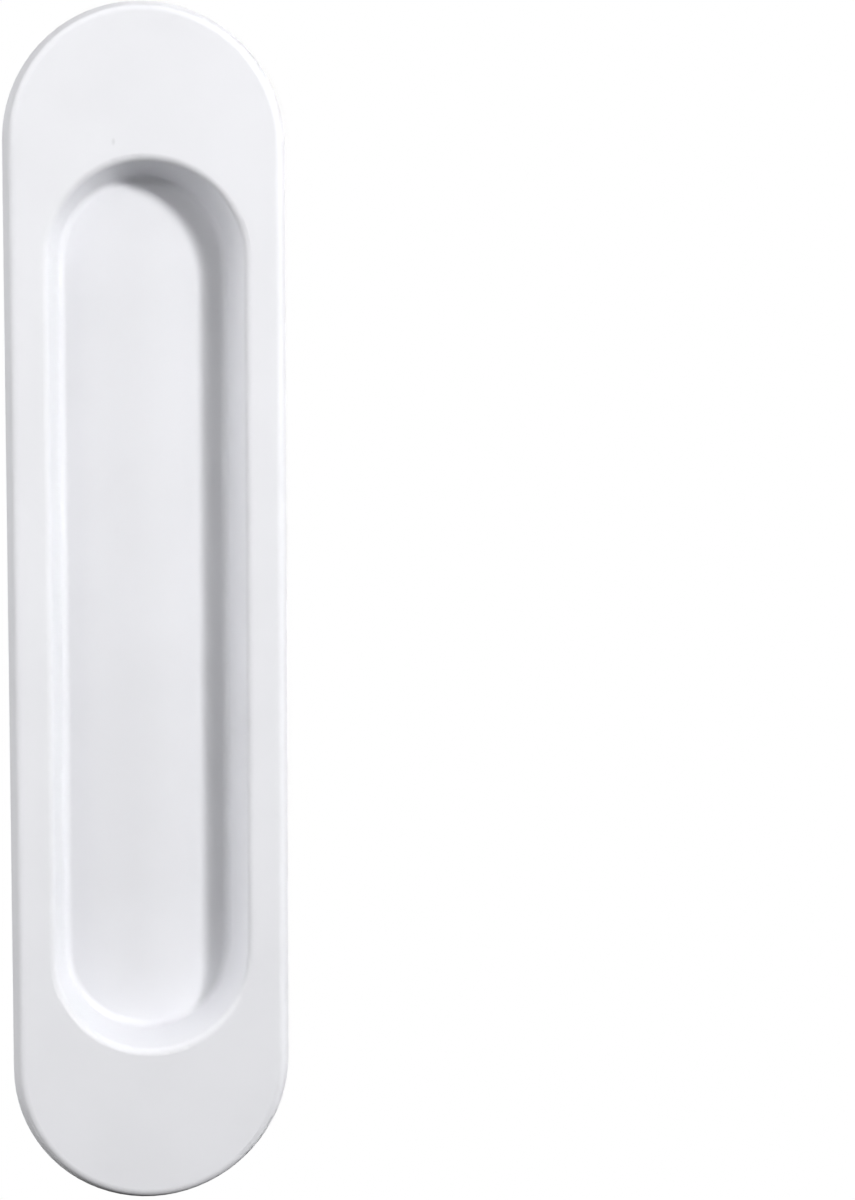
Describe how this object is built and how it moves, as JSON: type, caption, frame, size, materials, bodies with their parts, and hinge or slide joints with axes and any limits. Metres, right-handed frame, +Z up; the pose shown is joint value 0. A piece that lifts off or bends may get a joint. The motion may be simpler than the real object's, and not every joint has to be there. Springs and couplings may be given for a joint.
{
  "type": "pocket door pull",
  "caption": "White plastic pocket pull for a sliding door, moulded in one piece: round-ended flange, drafted finger pocket and a thin-walled cup behind.",
  "frame": {"origin": "middle of the flange's flat back, on the surface of the door", "axes": "+Z up along the pull, +X to the right seen from the front, +Y into the door; the face and the finger pocket's mouth look towards -Y"},
  "size_m": [0.0348, 0.0079, 0.15],
  "materials": {
    "white_plastic": "satin moulded white"
  },
  "bodies": {
    "root": {"pocket_pull": "white_plastic"}
  },
  "joints": []
}
